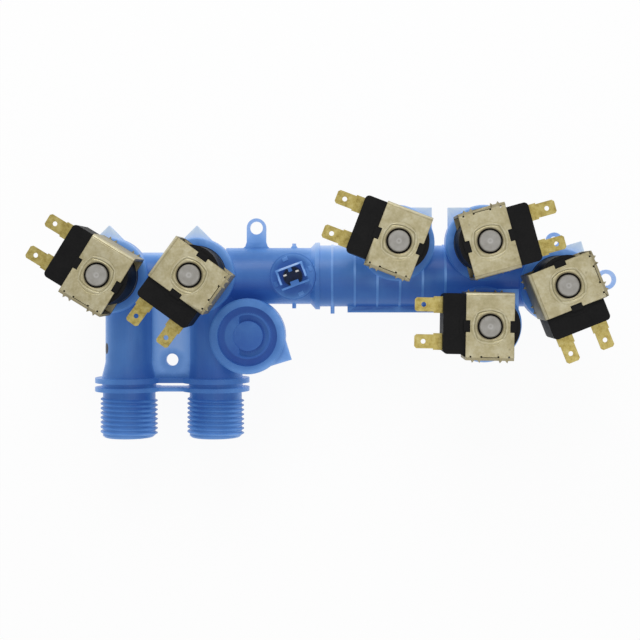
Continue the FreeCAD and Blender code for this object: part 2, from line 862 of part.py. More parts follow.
def coil(valve):
    """The sealed coil: a round barrel between the plates and the block that holds the terminals."""
    body = body_named(f"coil_{valve}")
    bottom, height = "yoke_bottom + plate_thick", "yoke_height - 2 * plate_thick"
    barrel = sketch_on(body, "level", bottom, "barrel")
    draw_circle(barrel, "barrel_radius")
    pad(body, barrel, height)
    near_end = "block_shift - block_length / 2"
    far_end = "block_shift + block_length / 2"
    inner = sketch_on(body, "level", bottom, "block_neck")
    draw_outline(inner, rectangle("0", "block_reach - block_corner", "-block_neck", "block_neck"))
    pad(body, inner, f"{height} - block_drop / 2")
    outer = sketch_on(body, "level", bottom, "block")
    draw_outline(outer, rectangle("half_width + coil_play", "block_reach", near_end, far_end))
    pad(body, outer, f"{height} - block_drop / 4")
    corner = lambda middle, edge: (near(middle.x, "block_reach") and abs(edge.tangentAt(0).z) > 0.9)
    round_edges(body, "block_corner", corner)
    lugs = sketch_on(body, "level", "yoke_bottom + lug_drop", "lugs")
    for side in (-1, 1):
        reach = [
            f"{side} * (half_width - notch_depth + coil_play)",
            f"{side} * (half_width + coil_lug_root)",
        ]
        ends = (reach if side > 0 else reach[::-1])
        draw_outline(lugs, rectangle(*ends, "coil_play - half_notch", "half_notch - coil_play"))
    pad(body, lugs, "yoke_height - 2 * lug_drop")
    bore = sketch_on(body, "level", f"yoke_bottom - {above}", "bore")
    draw_circle(bore, "coil_bore")
    pocket_up(body, bore, f"yoke_height + 2 * {above}")
    slots = sketch_on(body, "level", "blade_level - blade_thick / 2", "slots")
    for middle in blade_places():
        draw_outline(slots, rectangle("block_reach - root_depth", f"block_reach + {above}",
                                      f"{middle} - shoulder_width / 2", f"{middle} + shoulder_width / 2"))
    pocket_up(body, slots, "blade_thick")
    return at_valve(body, valve)


def terminals(valve):
    """Two blades with shoulders, their roots in the coil's block and their tips bevelled."""
    body = body_named(f"terminals_{valve}")
    sketch = sketch_on(body, "level", "blade_level - blade_thick / 2", "blades")
    shoulder = "block_reach + shoulder_length"
    tip = f"{shoulder} + blade_length"
    for middle in blade_places():
        wide = [f"({middle}) {sign} shoulder_width / 2" for sign in "-+"]
        blade = [f"({middle}) {sign} blade_width / 2" for sign in "-+"]
        draw_outline(sketch, [
            ("block_reach - root_depth", wide[0]),
            (shoulder, wide[0]),
            (shoulder, blade[0]),
            (f"{tip} - blade_tip", blade[0]),
            (tip, f"{blade[0]} + blade_tip"),
            (tip, f"{blade[1]} - blade_tip"),
            (f"{tip} - blade_tip", blade[1]),
            (shoulder, blade[1]),
            (shoulder, wide[1]),
            ("block_reach - root_depth", wide[1]),
        ])
        draw_circle(sketch, "blade_hole", (f"{tip} - blade_hole_setback", middle))
    pad(body, sketch, "blade_thick")
    return at_valve(body, valve)


def guide_tube(valve):
    """The closed plastic tube that the armature slides in, with the bonnet that clamps the diaphragm."""
    body = body_named(f"guide_tube_{valve}")
    turned(body, [
        ("guide_bore", "bonnet_bottom"),
        ("bonnet_radius", "bonnet_bottom"),
        ("bonnet_radius", "bonnet_top"),
        ("guide_radius", "bonnet_top"),
        ("guide_radius", "guide_top - guide_edge"),
        ("guide_radius - guide_edge", "guide_top"),
        ("0", "guide_top"),
        ("0", "chamber_top"),
        ("guide_bore", "chamber_top"),
    ])
    return at_valve(body, valve)


def armature(valve):
    """The steel plunger, with a pocket in its top for the spring."""
    body = body_named(f"armature_{valve}")
    turned(body, [
        ("0", "pilot_top"),
        ("armature_radius - armature_edge", "pilot_top"),
        ("armature_radius", "pilot_top + armature_edge"),
        ("armature_radius", "armature_top"),
        ("pocket_radius", "armature_top"),
        ("pocket_radius", "spring_bottom"),
        ("0", "spring_bottom"),
    ])
    return at_valve(body, valve)


def spring(valve):
    """A coil spring of square wire from the armature's pocket to the closed end of the tube."""
    outer, wire = number("spring_radius"), number("spring_wire")
    bottom, top = number("spring_bottom"), number("chamber_top")
    turns = number("spring_turns")
    around = int(number("spring_steps"))
    steps = int(turns) * around
    rise = (top - bottom - wire) / steps
    corners = ((outer, 0.0), (outer - wire, 0.0), (outer - wire, wire), (outer, wire))

    def ring(step):
        angle = 2 * math.pi * step / around
        return [FreeCAD.Vector(radius * math.cos(angle), radius * math.sin(angle),
                               bottom + step * rise + lift) for radius, lift in corners]

    faces = [Part.Face(Part.makePolygon(ring(0) + ring(0)[:1]))]
    for step in range(steps):
        lower, upper = ring(step), ring(step + 1)
        for side in range(4):
            after = (side + 1) % 4
            faces.append(flat_face(lower[side], lower[after], upper[after]))
            faces.append(flat_face(lower[side], upper[after], upper[side]))
    faces.append(Part.Face(Part.makePolygon(ring(steps) + ring(steps)[:1])))
    shape = Part.Solid(Part.Shell(faces))
    if shape.Volume < 0:
        shape.reverse()
    made = doc.addObject("Part::Feature", plain_name(f"spring_{valve}"))
    made.Label = f"spring_{valve}"
    made.Shape = shape
    return at_valve(made, valve)


def flat_face(first, second, third):
    return Part.Face(Part.makePolygon([first, second, third, first]))


def diaphragm(valve):
    """The rubber diaphragm: a thin disc over the seat, a thick bead in the groove and a pilot boss."""
    body = body_named(f"diaphragm_{valve}")
    rim = "rim_bore - bead_play"
    turned(body, [
        ("0", "land_top"),
        ("land_radius + bead_play", "land_top"),
        ("land_radius + bead_play", "groove_floor"),
        (rim, "groove_floor"),
        (rim, "bonnet_bottom"),
        (f"{rim} - bead_width", "bonnet_bottom"),
        (f"{rim} - bead_width", "membrane_top"),
        ("pilot_radius", "membrane_top"),
        ("pilot_radius", "pilot_top"),
        ("0", "pilot_top"),
    ])
    return at_valve(body, valve)


# Temperature sensor and the inlet screens

def at_sensor(thing):
    return stand(thing, ("sensor_x", "sensor_y", "0"), "sensor_turn")


def sensor_housing():
    """A round flange with its probe stem below, and above it the connector shroud and latch bar."""
    body = body_named("sensor_housing")
    turned(body, [
        ("0", "stem_bottom"),
        ("stem_radius", "stem_bottom"),
        ("stem_radius", "boss_top"),
        ("sensor_radius", "boss_top"),
        ("sensor_radius", "sensor_seat"),
        ("0", "sensor_seat"),
    ])
    half_length = "shroud_length / 2"
    front = "shroud_shift - shroud_width / 2"
    rear = "shroud_shift + shroud_width / 2"
    back = f"{rear} - shroud_wall"
    shroud = sketch_on(body, "level", "sensor_seat", "shroud")
    draw_outline(shroud, rectangle(f"-{half_length}", half_length, front, rear))
    pad(body, shroud, "shroud_height")
    cavity = sketch_on(body, "level", "sensor_seat + shroud_floor", "cavity")
    inner = f"{half_length} - shroud_wall"
    draw_outline(cavity, rectangle(f"-({inner})", inner, f"{front} - shroud_wall", back))
    pocket_up(body, cavity, "shroud_height")
    key = sketch_on(body, "level", "sensor_seat", "key")
    draw_outline(key, rectangle("-key_width / 2", "key_width / 2", f"{back} - key_reach", back))
    pad(body, key, "shroud_height - shroud_floor")
    latch = sketch_on(body, "level", "sensor_seat", "latch")
    inner_side = f"{front} - latch_gap"
    half_bar, half_bump = "latch_length / 2", "latch_bump / 2"
    draw_outline(latch, [
        (f"-{half_bump}", front),
        (f"-{half_bump}", inner_side),
        (f"-{half_bar}", inner_side),
        (f"-{half_bar}", f"{inner_side} - latch_thick"),
        (half_bar, f"{inner_side} - latch_thick"),
        (half_bar, inner_side),
        (half_bump, inner_side),
        (half_bump, front),
    ])
    pad(body, latch, "shroud_height - 2 * shroud_floor")
    roots = sketch_on(body, "level", "sensor_seat + shroud_floor - pin_root", "pin_roots")
    draw_pins(roots)
    pocket_up(body, roots, "pin_root")
    return at_sensor(body)


def draw_pins(sketch):
    for side in (-1, 1):
        middle = f"({side} * pin_spacing / 2)"
        draw_outline(sketch, rectangle(f"{middle} - pin_width / 2", f"{middle} + pin_width / 2",
                                       "shroud_shift - pin_thick / 2", "shroud_shift + pin_thick / 2"))


def sensor_pins():
    body = body_named("sensor_pins")
    sketch = sketch_on(body, "level", "sensor_seat + shroud_floor - pin_root", "pins")
    draw_pins(sketch)
    pad(body, sketch, "pin_root + pin_height")
    return at_sensor(body)


def sensor_seal():
    body = body_named("sensor_seal")
    turned(body, [
        ("stem_radius", "boss_top - seal_height"),
        ("seal_radius", "boss_top - seal_height"),
        ("seal_radius", "boss_top"),
        ("stem_radius", "boss_top"),
    ])
    return at_sensor(body)


def inlet_screen(inlet, side):
    """A basket screen whose flange rests on the step inside the spigot's mouth."""
    body = body_named(f"inlet_screen_{inlet}")
    mouth = "screen_seat - screen_flange"
    bottom = "screen_seat + basket_depth"
    turned_about_y(body, [
        ("basket_mouth", mouth),
        ("spigot_bore - screen_play", mouth),
        ("spigot_bore - screen_play", "screen_seat"),
        ("basket_mouth + basket_wall", "screen_seat"),
        ("basket_end + basket_wall", f"{bottom} + basket_wall"),
        ("0", f"{bottom} + basket_wall"),
        ("0", bottom),
        ("basket_end", bottom),
    ])
    return stand(body, (f"{side} * half_spacing", "0", "0"))


def all_pieces():
    pieces = [manifold_body()]
    for valve in valves:
        for make in (yoke, coil, terminals, guide_tube, armature, spring, diaphragm):
            pieces.append(make(valve))
    pieces += [sensor_housing(), sensor_pins(), sensor_seal()]
    pieces += [inlet_screen(1, -1), inlet_screen(2, 1)]
    return pieces


def check_all(pieces):
    """Stop if any object failed or any piece has no sound shape."""
    for thing in doc.Objects:
        if "Invalid" in thing.State or "Error" in thing.State:
            raise RuntimeError(f"{thing.Label} failed: {thing.State}")
    for piece in pieces:
        if piece.Shape.isNull() or not piece.Shape.isValid() or not piece.Shape.Solids:
            raise RuntimeError(f"{piece.Label} has no sound shape")


def main():
    pieces = all_pieces()
    doc.recompute()
    check_all(pieces)
    os.makedirs("parts", exist_ok=True)
    for piece in pieces:
        piece.Shape.exportStep(f"parts/{piece.Label}.step")
        print(f"{piece.Label}: {len(piece.Shape.Solids)} solids, {piece.Shape.Volume:.1f} mm3")


main()
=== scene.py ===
import math

import bmesh
import bpy
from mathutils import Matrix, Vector
from mathutils.bvhtree import BVHTree

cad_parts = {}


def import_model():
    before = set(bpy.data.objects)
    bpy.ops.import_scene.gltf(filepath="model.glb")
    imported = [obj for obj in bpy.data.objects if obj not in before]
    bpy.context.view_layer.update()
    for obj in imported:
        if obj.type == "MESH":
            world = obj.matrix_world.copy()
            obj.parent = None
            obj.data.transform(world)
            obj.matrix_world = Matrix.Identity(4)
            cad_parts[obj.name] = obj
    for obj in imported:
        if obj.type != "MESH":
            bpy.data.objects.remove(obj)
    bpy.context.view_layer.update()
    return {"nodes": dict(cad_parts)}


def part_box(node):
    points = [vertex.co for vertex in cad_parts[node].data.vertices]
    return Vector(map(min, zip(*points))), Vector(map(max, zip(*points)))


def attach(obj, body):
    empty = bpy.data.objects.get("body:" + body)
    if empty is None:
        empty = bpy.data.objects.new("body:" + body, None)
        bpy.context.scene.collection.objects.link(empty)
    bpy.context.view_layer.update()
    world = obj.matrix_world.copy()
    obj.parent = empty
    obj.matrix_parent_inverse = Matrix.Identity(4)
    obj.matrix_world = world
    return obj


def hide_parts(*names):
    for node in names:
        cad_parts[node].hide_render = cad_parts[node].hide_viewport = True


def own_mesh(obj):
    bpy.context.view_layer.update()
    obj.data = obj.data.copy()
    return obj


# Washing machine inlet valve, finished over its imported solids.
# Lengths are in metres, as in the frame, or in millimetres where a note says so.
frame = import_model()
nodes = frame["nodes"]
valveBody = "valve_body"
mm = 0.001
perMetre = 1000.0  # millimetres, for the materials
valveSpots = {  # each armature's middle in millimetres, and the way its blades point in degrees
    1: (-27.6, 55.0, 148.5),
    2: (13.4, 55.0, 234.0),
    3: (106.6, 70.2, 159.0),
    4: (147.1, 70.2, 15.4),
    5: (147.2, 32.2, 179.0),
    6: (181.9, 50.4, -68.3),
}
sensorSpot = (58.3, 54.6)  # in millimetres, like the next three
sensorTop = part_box("sensor_housing")[1].z / mm
blankSpot = (37.0, 26.6)
blankReach = 18.5
print("frame loaded:", len(nodes), "solids")


class Flow:  # a value in a material, ready for plain sums
    def __init__(self, finish, socket):
        self.finish = finish
        self.socket = socket

    def sum(self, how, first, second=0.0):
        return self.finish.put("ShaderNodeMath", {"operation": how}, {0: first, 1: second})

    def __add__(self, other):
        return self.sum("ADD", self, other)

    def __sub__(self, other):
        return self.sum("SUBTRACT", self, other)

    def __rsub__(self, other):
        return self.sum("SUBTRACT", other, self)

    def __mul__(self, other):
        return self.sum("MULTIPLY", self, other)

    def __truediv__(self, other):
        return self.sum("DIVIDE", self, other)

    def least(self, other):
        return self.sum("MINIMUM", self, other)

    def most(self, other):
        return self.sum("MAXIMUM", self, other)

    def size(self):
        return self.sum("ABSOLUTE", self)

    def root(self):
        return self.sum("SQRT", self)

    def fraction(self):
        return self.sum("FRACT", self)

    def between(self, low, high, start=0.0, end=1.0):  # a soft step from low to high
        return self.finish.put("ShaderNodeMapRange", {"interpolation_type": "SMOOTHSTEP"},
                               {0: self, 1: low, 2: high, 3: start, 4: end})

    def bell(self, middle, width):  # 1 at the middle, falling to 0 a width away on both sides
        return (self - middle).size().between(0.0, width, 1.0, 0.0)


class Graph:  # a node tree and the one way its nodes are made
    def __init__(self, tree):
        self.tree = tree
        tree.nodes.clear()

    def put(self, kind, settings, values, out=0):
        made = self.tree.nodes.new(kind)
        for key, value in settings.items():
            if key == "stops":
                self.setStops(made.color_ramp, value)
            else:
                setattr(made, key, value)
        for key, value in values.items():
            if isinstance(value, Flow):
                self.tree.links.new(value.socket, made.inputs[key])
            else:
                made.inputs[key].default_value = value
        return Flow(self, made.outputs[out]) if len(made.outputs) else None

    def setStops(self, ramp, stops):
        while len(ramp.elements) < len(stops):
            ramp.elements.new(1.0)
        for element, (position, colour) in zip(ramp.elements, stops):
            element.position = position
            element.color = (*colour, 1.0)


class Pattern(Graph):  # a geometry tree whose sizes are named inputs
    def __init__(self, name, sizes):
        super().__init__(bpy.data.node_groups.new(name, "GeometryNodeTree"))
        self.sizes = sizes
        self.names = {}
        face = self.tree.interface
        for key in sizes:
            socket = face.new_socket(name=key, in_out="INPUT", socket_type="NodeSocketFloat")
            self.names[key] = socket.identifier
        face.new_socket(name="Geometry", in_out="OUTPUT", socket_type="NodeSocketGeometry")
        self.given = self.tree.nodes.new("NodeGroupInput")

    def size(self, key):
        return Flow(self, self.given.outputs[key])

    def vector(self, x, y, z):
        return self.put("ShaderNodeCombineXYZ", {}, {0: x, 1: y, 2: z})

    def end(self, shape, material):
        real = self.put("GeometryNodeRealizeInstances", {}, {"Geometry": shape})
        dressed = self.put("GeometryNodeSetMaterial", {}, {"Geometry": real, "Material": material})
        self.put("NodeGroupOutput", {}, {0: dressed})

    def bake(self, changes):
        holder = bpy.data.objects.new("patternHolder", bpy.data.meshes.new("patternHolder"))
        bpy.context.scene.collection.objects.link(holder)
        modifier = holder.modifiers.new("pattern", "NODES")
        modifier.node_group = self.tree
        for key, value in {**self.sizes, **changes}.items():
            modifier[self.names[key]] = value
        solved = holder.evaluated_get(bpy.context.evaluated_depsgraph_get())
        mesh = bpy.data.meshes.new_from_object(solved)
        bpy.data.objects.remove(holder)
        return mesh


class Finish(Graph):  # a material
    def __init__(self, name):
        self.material = bpy.data.materials.new(name)
        self.material.use_nodes = True
        super().__init__(self.material.node_tree)
        self.place = self.put("ShaderNodeTexCoord", {}, {}, "Object")

    def ramp(self, share, stops):
        return self.put("ShaderNodeValToRGB", {"stops": stops}, {0: share})

    def mix(self, share, first, second, how="MIX"):
        first, second = [(*c, 1.0) if isinstance(c, tuple) else c for c in (first, second)]
        settings = {"data_type": "RGBA", "blend_type": how}
        return self.put("ShaderNodeMix", settings, {0: share, 6: first, 7: second}, 2)

    def shade(self, colour, share):
        return self.mix(1.0, colour, (share, share, share), "MULTIPLY")

    def noise(self, size, detail, roughness, stretch=None):
        at = self.place
        if stretch is not None:
            at = self.put("ShaderNodeMapping", {}, {"Vector": at, "Scale": stretch})
        values = {"Vector": at, "Scale": 1.0 / size, "Detail": detail, "Roughness": roughness}
        return self.put("ShaderNodeTexNoise", {}, values)

    def specks(self, size, reach, keep):  # soft dots, of which only a share is kept
        cell = {"Vector": self.place, "Scale": 1.0 / size, "Randomness": 1.0}
        away = self.put("ShaderNodeTexVoronoi", {}, cell, "Distance")
        tone = self.put("ShaderNodeTexVoronoi", {}, cell, "Color")
        chosen = self.put("ShaderNodeSeparateColor", {}, {0: tone}).between(1.0 - keep, 1.0 - keep + 0.02)
        return away.between(0.0, reach, 1.0, 0.0) * chosen

    def apart(self, place, axis, scale=1.0):  # one coordinate of a place
        return self.put("ShaderNodeSeparateXYZ", {}, {0: place}, axis) * scale

    def given(self, name, out="Fac"):  # a value that the piece's own mesh carries
        return self.put("ShaderNodeAttribute", {"attribute_name": name}, {}, out)

    def fromAxis(self, x, y):  # distance in millimetres from an upright line
        flatten = {0: self.place, 1: (perMetre, perMetre, 0.0)}
        flat = self.put("ShaderNodeVectorMath", {"operation": "MULTIPLY"}, flatten)
        return self.put("ShaderNodeVectorMath", {"operation": "DISTANCE"}, {0: flat, 1: (x, y, 0.0)}, "Value")

    def fromValves(self):  # distance in millimetres from the nearest armature's line
        nearest = None
        for x, y, turn in valveSpots.values():
            away = self.fromAxis(x, y)
            nearest = away if nearest is None else nearest.least(away)
        return nearest

    def bump(self, height, distance, strength):
        return self.put("ShaderNodeBump", {}, {"Strength": strength, "Distance": distance, "Height": height})

    def close(self, values):
        shader = self.put("ShaderNodeBsdfPrincipled", {}, values)
        self.put("ShaderNodeOutputMaterial", {}, {"Surface": shader})
        return self.material


glowName = "lightThrough"
ownName = "ownPlace"
plasticLook = {
    "stops": [  # the plastic's colour by the light that comes through it
        (0.08, (0.017, 0.066, 0.300)),
        (0.20, (0.030, 0.106, 0.375)),
        (0.26, (0.045, 0.142, 0.418)),
        (0.32, (0.064, 0.181, 0.480)),
        (0.39, (0.098, 0.243, 0.580)),
        (0.50, (0.170, 0.345, 0.720)),
        (0.62, (0.310, 0.470, 0.800)),
        (0.90, (0.620, 0.730, 0.840)),
    ],
    "glow": 0.42,
    "body": 0.62,
    "clouds": 0.012,  # the sizes of its patterns, down to the grain
    "flow": 0.004,
    "streaks": 0.003,
    "scuffs": 0.0011,
    "grain": 0.0006,
    "cloudShare": 0.05,
    "streakShare": 0.035,
    "scuffBand": (0.66, 0.80),
    "scuffShare": 0.10,
    "scuffTone": (0.75, 0.82, 0.90),
    "smear": (-30.5, 20.4, 5.4, 1.45, 2.8, 3.4),  # on the first inlet tube: place and half sizes in mm
    "smearTone": (0.008, 0.010, 0.020),
    "smearEdge": (0.70, 1.10),
    "pitReach": (4.0, 5.2),  # the floor between the sensor's pins, painted dark as shade, in mm
    "pitLevel": (sensorTop - 8.1, sensorTop - 7.6),
    "pitShadeTone": (0.006, 0.010, 0.014),
}


def blackSmear(finish, colour, streaks):
    x, y, z, wide, long, high = plasticLook["smear"]
    across = (finish.apart(finish.place, 0, perMetre) - x) / wide
    along = (finish.apart(finish.place, 1, perMetre) - y) / long
    above = (finish.apart(finish.place, 2, perMetre) - z) / high
    edge = (streaks - 0.5) * 1.1
    away = across * across + along * along + above * above + edge
    smear = away.between(*plasticLook["smearEdge"], 1.0, 0.0)
    return finish.mix(smear, colour, plasticLook["smearTone"])


# Painted shade: the floor between the sensor's pins, deep in the shroud, is darkened
def shadedPitFloor(finish, colour, streaks):
    low = finish.apart(finish.place, 2, perMetre).between(*plasticLook["pitLevel"], 1.0, 0.0)
    pit = finish.fromAxis(*sensorSpot).between(*plasticLook["pitReach"], 1.0, 0.0) * low
    return finish.mix(pit * (streaks * 0.5 + 0.65).least(1.0), colour, plasticLook["pitShadeTone"])


def bluePlastic(name, markingOrShade):
    look = plasticLook
    finish = Finish(name)
    clouds = finish.noise(look["clouds"], 3.0, 0.55)
    streaks = finish.noise(look["streaks"], 3.0, 0.6, (1.0, 0.25, 1.0))
    share = finish.given(glowName) + (clouds - 0.5) * look["cloudShare"] + (streaks - 0.5) * look["streakShare"]
    colour = finish.ramp(share, look["stops"])
    # The smear on the first inlet tube is dirt; the sensor's dark pit floor is painted shade
    colour = markingOrShade(finish, colour, streaks)
    scuffs = finish.noise(look["scuffs"], 4.0, 0.75, (1.0, 0.12, 1.0)).between(*look["scuffBand"])
    colour = finish.mix(scuffs * look["scuffShare"], colour, look["scuffTone"])
    grain = finish.noise(look["grain"], 2.0, 0.6)
    flow = finish.noise(look["flow"], 2.0, 0.5)
    height = grain * 0.35 + flow * 0.65
    return finish.close({
        "Base Color": finish.shade(colour, look["body"]),
        "Roughness": clouds * 0.12 + scuffs * 0.15 + 0.30,
        # Painted light: the plastic glows in its own colour, standing in for the light that comes through it
        "Emission Color": colour,
        "Emission Strength": look["glow"],
        "Normal": finish.bump(height, 0.00008, 0.5),
        "IOR": 1.49,
        "Specular IOR Level": 0.28,
        "Subsurface Weight": 0.15,
        "Subsurface Radius": (0.6, 0.8, 1.0),
        "Subsurface Scale": 0.002,
    })


yokeLook = {  # places in millimetres from the armature's line, pattern sizes in metres
    "top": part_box("yoke_1")[1].z / mm,
    "flat": (5.55, 6.35),  # where a change starts and ends
    "rim": (5.65, 6.5),
    "sides": (10.5, 10.75),
    "teeth": (13.65, 14.25),
    "wall": (-15.2, -14.95),
    "low": (2.6, 0.9),  # below the top
    "deep": (26.0, 12.0),
    "ring": (6.9, 0.45),  # middle and half width of a line
    "lip": (7.55, 0.45),
    "outer": (8.4, 0.35),
    "fold": (-14.6, 0.45),
    "crease": (-13.7, 0.30),
    "patches": 0.005,
    "stains": 0.0026,
    "rolled": 0.0012,
    "speck": 0.00035,
    "tan": (0.455, 0.400, 0.235),
    "olive": (0.330, 0.290, 0.150),
    "pale": (0.640, 0.600, 0.430),
    "wornAndHighlight": (0.80, 0.76, 0.58),
    # dark brown for oxide on the cut edges and stains, and for painted shade
    "oxideStainAndShade": (0.150, 0.120, 0.065),
}
yokeShares = {  # how strongly each mark colours the steel, painted shade and painted highlights among them
    "ring": 0.62,
    "outer": 0.34,
    "lip": 0.40,
    "rim": 0.80,
    "fold": 0.60,
    "crease": 0.45,
    "edgeOxideAndTeethShade": 0.60,
    "low": 0.38,
    "deep": 0.50,
    "stains": 0.45,
}


def passivatedSteel():
    look, shares = yokeLook, yokeShares
    finish = Finish("passivatedSteel")
    own = finish.given(ownName, "Vector")
    across, along = finish.apart(own, 0), finish.apart(own, 1)
    away = (across * across + along * along).root()
    patches = finish.noise(look["patches"], 4.0, 0.62)
    rolled = finish.noise(look["rolled"], 3.0, 0.6)
    speck = finish.noise(look["speck"], 2.0, 0.6)
    tone = patches * 0.62 + rolled * 0.28 + speck * 0.10
    colour = finish.ramp(tone, [(0.27, look["olive"]), (0.46, look["tan"]), (0.74, look["pale"])])
    wobble = (patches - 0.5) * 0.5
    corner = (across.size().most(along.size()) + away * 1.6) / 2.55  # between a ring and a square
    ring = (corner + wobble).bell(*look["ring"])
    lip = (corner + wobble).bell(*look["lip"])
    outer = (away + wobble).bell(*look["outer"])
    # Painted shade in the embossed ring's grooves, darker, and a painted highlight on its raised lip, paler
    colour = finish.mix(ring * shares["ring"] + outer * shares["outer"], colour, look["olive"])
    colour = finish.mix(lip * shares["lip"], colour, look["pale"])
    # Painted shade round the hole, where the guide tube stands in it
    rim = away.between(*look["rim"], 1.0, 0.0)
    colour = finish.mix(rim * shares["rim"], colour, look["oxideStainAndShade"])
    fold = along.bell(*look["fold"])
    crease = along.bell(*look["crease"])
    # Painted highlight along the fold at the plain end
    colour = finish.mix(fold * shares["fold"], colour, look["wornAndHighlight"])
    # Painted shade in the crease below the fold
    colour = finish.mix(crease * shares["crease"], colour, look["oxideStainAndShade"])
    # Darker towards the long sides, oxide on the cut edges, and towards the toothed end, painted shade between
    # the teeth
    sides = across.size().between(*look["sides"])
    teeth = along.between(*look["teeth"])
    edgeOxideAndTeethShade = sides.most(teeth) * (patches * 0.9 + 0.25).least(1.0)
    colour = finish.mix(edgeOxideAndTeethShade * shares["edgeOxideAndTeethShade"], colour, look["oxideStainAndShade"])
    # Painted shade on the end wall below the fold and over the lower plate
    wall = along.between(*look["wall"], 1.0, 0.0)
    low, deep = [finish.apart(own, 2).between(*[look["top"] - under for under in look[key]], 1.0, 0.0)
                 for key in ("low", "deep")]
    shade = (wall * low * shares["low"]).most(deep * shares["deep"])
    colour = finish.mix(shade, colour, look["oxideStainAndShade"])
    stains = finish.specks(look["stains"], 0.30, 0.16)
    colour = finish.mix(stains * shares["stains"], colour, look["oxideStainAndShade"])
    flat = away.between(*look["flat"])
    height = (ring * -0.85 + lip * 0.25 + outer * -0.30 + flat * 0.7
              - crease * 0.5 + speck * 0.10 + patches * 0.30)
    return finish.close({
        "Base Color": colour,
        "Metallic": 0.55,
        "Roughness": rolled * 0.22 + 0.36,
        "Normal": finish.bump(height, 0.00028, 0.8),
    })


coilLook = {
    "bloom": 0.008,
    "fibre": 0.0009,
    "dark": (0.0035, 0.0035, 0.0038),
    "grey": (0.0095, 0.0092, 0.0092),
}


def blackOvermould():
    look = coilLook
    finish = Finish("blackOvermould")
    fibre = finish.noise(look["fibre"], 3.0, 0.65)
    bloom = finish.noise(look["bloom"], 3.0, 0.5)
    colour = finish.ramp(bloom * 0.5 + fibre * 0.5, [(0.35, look["dark"]), (0.72, look["grey"])])
    return finish.close({
        "Base Color": colour,
        "Roughness": bloom * 0.2 + 0.48,
        "Specular IOR Level": 0.14,
        "Normal": finish.bump(fibre, 0.00014, 0.6),
    })


brassLook = {
    "tarnish": 0.0028,
    "spots": 0.0016,
    "speck": 0.0005,
    "stops": [
        (0.32, (0.31, 0.225, 0.055)),
        (0.50, (0.51, 0.410, 0.125)),
        (0.70, (0.64, 0.55, 0.235)),
    ],
    "spotTone": (0.22, 0.14, 0.05),
}


def brass():
    look = brassLook
    finish = Finish("bladeBrass")
    tarnish = finish.noise(look["tarnish"], 4.0, 0.62)
    speck = finish.noise(look["speck"], 2.0, 0.5)
    colour = finish.ramp(tarnish * 0.8 + speck * 0.2, look["stops"])
    spots = finish.specks(look["spots"], 0.35, 0.22)
    colour = finish.mix(spots * 0.5, colour, look["spotTone"])
    return finish.close({
        "Base Color": colour,
        "Metallic": 0.75,
        "Roughness": tarnish * 0.25 + 0.25,
        "Normal": finish.bump(speck + tarnish + spots * 0.4, 0.00006, 0.5),
    })


guideLook = {
    "dimple": (0.1, 1.0),  # in millimetres from the tube's axis, like the next three
    "tipRing": (0.9, 0.7),
    "groove": (2.6, 0.35),
    "edge": (4.35, 4.80),
    "flow": 0.003,
    "grey": (0.275, 0.262, 0.235),
    "pale": (0.350, 0.338, 0.312),
    "tip": (0.62, 0.61, 0.60),
    "rim": (0.085, 0.075, 0.055),
}


def guidePlastic():
    look = guideLook
    finish = Finish("guidePlastic")
    flow = finish.noise(look["flow"], 3.0, 0.5)
    away = finish.fromValves()
    colour = finish.ramp(flow, [(0.3, look["grey"]), (0.7, look["pale"])])
    colour = finish.mix(away.bell(*look["tipRing"]) * 0.30, colour, look["tip"])
    # Painted shade: darker towards the tube's side, where it stands in the yoke's hole
    colour = finish.mix(away.between(*look["edge"]) * 0.60, colour, look["rim"])
    height = away.between(*look["dimple"]) * 0.8 + away.bell(*look["groove"]) * 0.25 + flow * 0.4
    return finish.close({
        "Base Color": colour,
        "Roughness": 0.40,
        "Normal": finish.bump(height, 0.00022, 0.7),
        "Subsurface Weight": 0.1,
        "Subsurface Radius": (1.0, 1.0, 1.0),
        "Subsurface Scale": 0.001,
    })


def turnedSteel(name, tone):
    finish = Finish(name)
    lines = finish.noise(0.0006, 2.0, 0.5, (0.05, 0.05, 1.0))
    colour = finish.ramp(lines, [(0.3, tuple(0.8 * c for c in tone)), (0.7, tone)])
    return finish.close({
        "Base Color": colour,
        "Metallic": 1.0,
        "Roughness": lines * 0.15 + 0.25,
        "Normal": finish.bump(lines, 0.00004, 0.4),
    })


def blackRubber():
    finish = Finish("blackRubber")
    bloom = finish.noise(0.002, 3.0, 0.6)
    colour = finish.ramp(bloom, [(0.3, (0.012, 0.012, 0.012)), (0.8, (0.03, 0.03, 0.03))])
    return finish.close({"Base Color": colour, "Roughness": 0.6, "Normal": finish.bump(bloom, 0.0001, 0.5)})


screenLook = {
    "bars": 1250.0,  # to a metre
    "flow": 0.002,
    "grey": (0.60, 0.61, 0.58),
    "pale": (0.74, 0.75, 0.72),
    "hole": (0.02, 0.03, 0.05),
}


def screenPlastic():
    look = screenLook
    finish = Finish("screenPlastic")
    flow = finish.noise(look["flow"], 2.0, 0.5)
    colour = finish.ramp(flow, [(0.3, look["grey"]), (0.8, look["pale"])])
    upright, level = [finish.apart(finish.place, axis, look["bars"]).fraction().bell(0.5, 0.42)
                      for axis in (0, 2)]  # the fine square mesh
    # The holes are painted dark, as painted shade where they look into the valve
    hole = upright.most(level).between(0.25, 0.45, 1.0, 0.0)
    colour = finish.mix(hole * 0.85, colour, look["hole"])
    return finish.close({
        "Base Color": colour,
        "Roughness": 0.4,
        "Normal": finish.bump(flow * 0.3 - hole, 0.0003, 0.7),
    })


